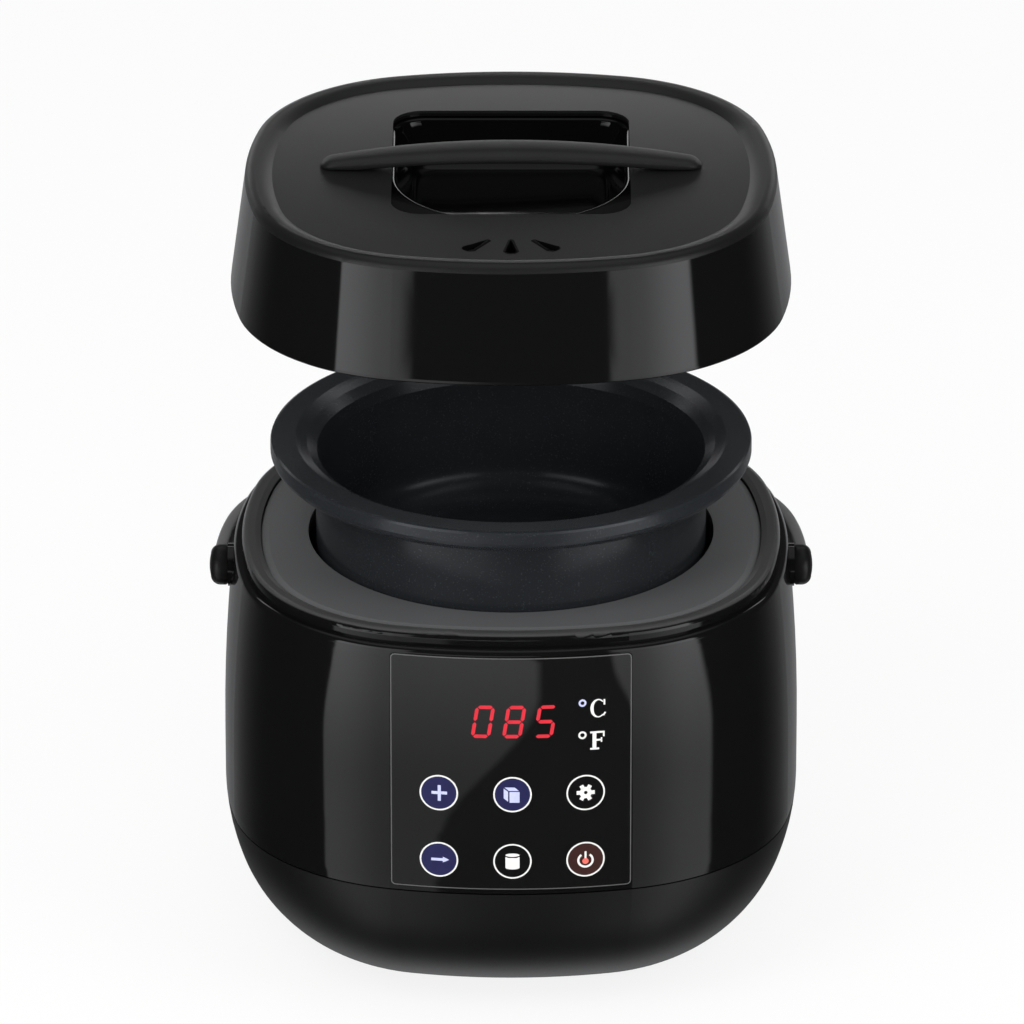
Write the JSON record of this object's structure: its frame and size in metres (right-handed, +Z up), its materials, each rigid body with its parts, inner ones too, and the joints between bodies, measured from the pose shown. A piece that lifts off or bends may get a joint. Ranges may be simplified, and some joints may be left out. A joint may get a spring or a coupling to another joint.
{
  "type": "candle wax melter",
  "caption": "Electric candle wax melter: glossy rounded-square housing with touch panel, lift-out melting pot, bail handle and lift-off lid with a bar grip.",
  "frame": {"origin": "centre of the footprint on the plane of the feet", "axes": "+Z up, front with the control panel towards -Y, +X to the right seen from the front"},
  "size_m": [0.2516, 0.2406, 0.3456],
  "materials": {
    "gloss_black": "high gloss black",
    "matte_black": "matte black, fine grain",
    "frame_black": "satin black",
    "lid_matte": "matte charcoal",
    "plate_grey": "satin grey paint",
    "panel_glass": "clear-backed black acrylic",
    "pot_coating": "non-stick coating",
    "bare_aluminium": "bare",
    "cast_aluminium": "as cast",
    "zinc_steel": "zinc plated",
    "spring_steel": "bright",
    "rubber_black": "matte",
    "silicone_grey": "satin silicone",
    "insulation_white": "fibre felt",
    "board_green": "solder mask",
    "display_body": "matte",
    "relay_blue": "matte",
    "transformer_core": "varnished",
    "capacitor_sleeve": "sleeve",
    "brass_pins": "plain",
    "fuse_body": "plain"
  },
  "bodies": {
    "base": {"outer_shell": "gloss_black", "base_bowl": "matte_black", "base_cover": "matte_black", "feet": "rubber_black", "base_screws": "zinc_steel", "power_board": "board_green", "power_relay": "relay_blue", "power_transformer": "transformer_core", "power_capacitors": "capacitor_sleeve", "top_frame": "frame_black", "top_plate": "plate_grey", "heating_chamber": "bare_aluminium", "insulation_sleeve": "insulation_white", "heating_plate": "cast_aluminium", "plate_screws": "zinc_steel", "heater_terminals": "brass_pins", "sensor_bracket": "zinc_steel", "sensor_spring": "spring_steel", "thermal_fuse": "fuse_body", "fuse_clip": "zinc_steel", "control_panel": "panel_glass", "display_module": "display_body", "control_board": "board_green", "board_screws": "zinc_steel", "touch_springs": "spring_steel", "power_inlet": "matte_black", "inlet_pins": "brass_pins", "inlet_screws": "zinc_steel", "pivot_pins": "zinc_steel"},
    "pot": {"melting_pot": "pot_coating"},
    "lid": {"lid_shell": "gloss_black", "lid_well": "gloss_black", "lid_handle": "lid_matte", "handle_screws": "zinc_steel", "lid_liner": "bare_aluminium", "liner_screws": "zinc_steel", "lid_gasket": "silicone_grey"},
    "bail": {"bail_handle": "frame_black", "pivot_caps": "gloss_black"},
    "sensor": {"sensor_cap": "bare_aluminium"}
  },
  "joints": [
    {"name": "pot_lift", "type": "slide", "parent": "base", "child": "pot", "axis": [0, 0, 1], "range_m": [-0.033, 0.17]},
    {"name": "lid_lift", "type": "slide", "parent": "pot", "child": "lid", "axis": [0, 0, 1], "range_m": [-0.084, 0.06]},
    {"name": "bail_swing", "type": "hinge", "parent": "base", "child": "bail", "pos_m": [0, 0, 0.1586], "axis": [1, 0, 0], "range_deg": [0, 99]},
    {"name": "sensor_press", "type": "slide", "parent": "base", "child": "sensor", "axis": [0, 0, 1], "range_m": [-0.003, 0], "stiffness_N_per_m": 150, "springref_m": 0.003, "deforming": ["sensor_spring"]}
  ]
}
